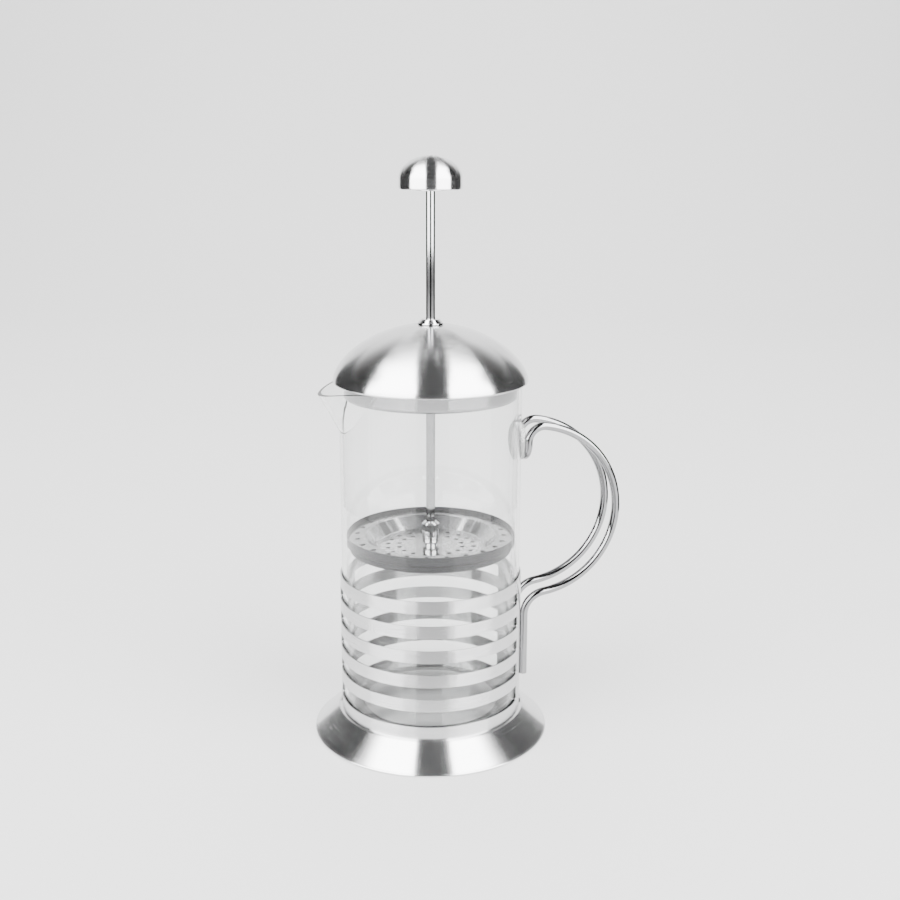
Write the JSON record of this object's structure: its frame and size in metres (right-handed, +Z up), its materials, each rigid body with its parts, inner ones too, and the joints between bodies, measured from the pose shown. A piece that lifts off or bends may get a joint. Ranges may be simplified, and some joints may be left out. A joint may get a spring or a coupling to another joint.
{
  "type": "french press",
  "caption": "Cylindrical french press: glass beaker in a slotted steel frame with a wire handle, domed lid and plunger with a mesh filter.",
  "frame": {"origin": "centre of the circle that the foot stands on", "axes": "+Z up along the axis of the beaker; +X towards the handle; the pouring lip points along -X"},
  "size_m": [0.1569, 0.1198, 0.2892],
  "materials": {
    "borosilicate_glass": "clear, smooth, thin walled",
    "polished_steel": "mirror polished stainless steel",
    "spun_steel": "polished stainless sheet with faint spinning marks",
    "brushed_steel": "plain stainless steel, lightly brushed",
    "woven_mesh": "fine woven stainless mesh, satin",
    "clear_plastic": "clear, slightly cloudy plastic",
    "black_plastic": "matt black plastic"
  },
  "bodies": {
    "frame": {"frame_sleeve": "polished_steel", "base_flange": "spun_steel", "handle_wire": "polished_steel", "handle_pad": "clear_plastic"},
    "beaker": {"beaker": "borosilicate_glass"},
    "bush": {"lid_bushing": "polished_steel"},
    "lid": {"lid_dome": "spun_steel", "lid_pan": "brushed_steel", "lid_washer": "brushed_steel", "lid_nut": "brushed_steel"},
    "rod": {"plunger_rod": "polished_steel"},
    "plunger": {"rod_coupler": "polished_steel", "knob_shell": "spun_steel", "knob_core": "black_plastic", "knob_nut": "brushed_steel", "filter_plate": "polished_steel", "filter_spring": "brushed_steel", "filter_mesh": "woven_mesh", "mesh_grommet": "brushed_steel", "cross_plate": "brushed_steel", "filter_stud": "brushed_steel"}
  },
  "joints": [
    {"name": "beaker_lift", "type": "slide", "parent": "frame", "child": "beaker", "axis": [0, 0, 1], "range_m": [0, 0.075]},
    {"name": "lid_lift", "type": "slide", "parent": "beaker", "child": "bush", "axis": [0, 0, 1], "range_m": [0, 0.1]},
    {"name": "lid_turn", "type": "hinge", "parent": "bush", "child": "lid", "pos_m": [0, 0, 0.21], "axis": [0, 0, 1], "continuous": true},
    {"name": "plunger_press", "type": "slide", "parent": "bush", "child": "rod", "axis": [0, 0, 1], "range_m": [-0.06, 0.064]},
    {"name": "plunger_spin", "type": "hinge", "parent": "rod", "child": "plunger", "pos_m": [0, 0, 0.28], "axis": [0, 0, 1], "continuous": true}
  ]
}
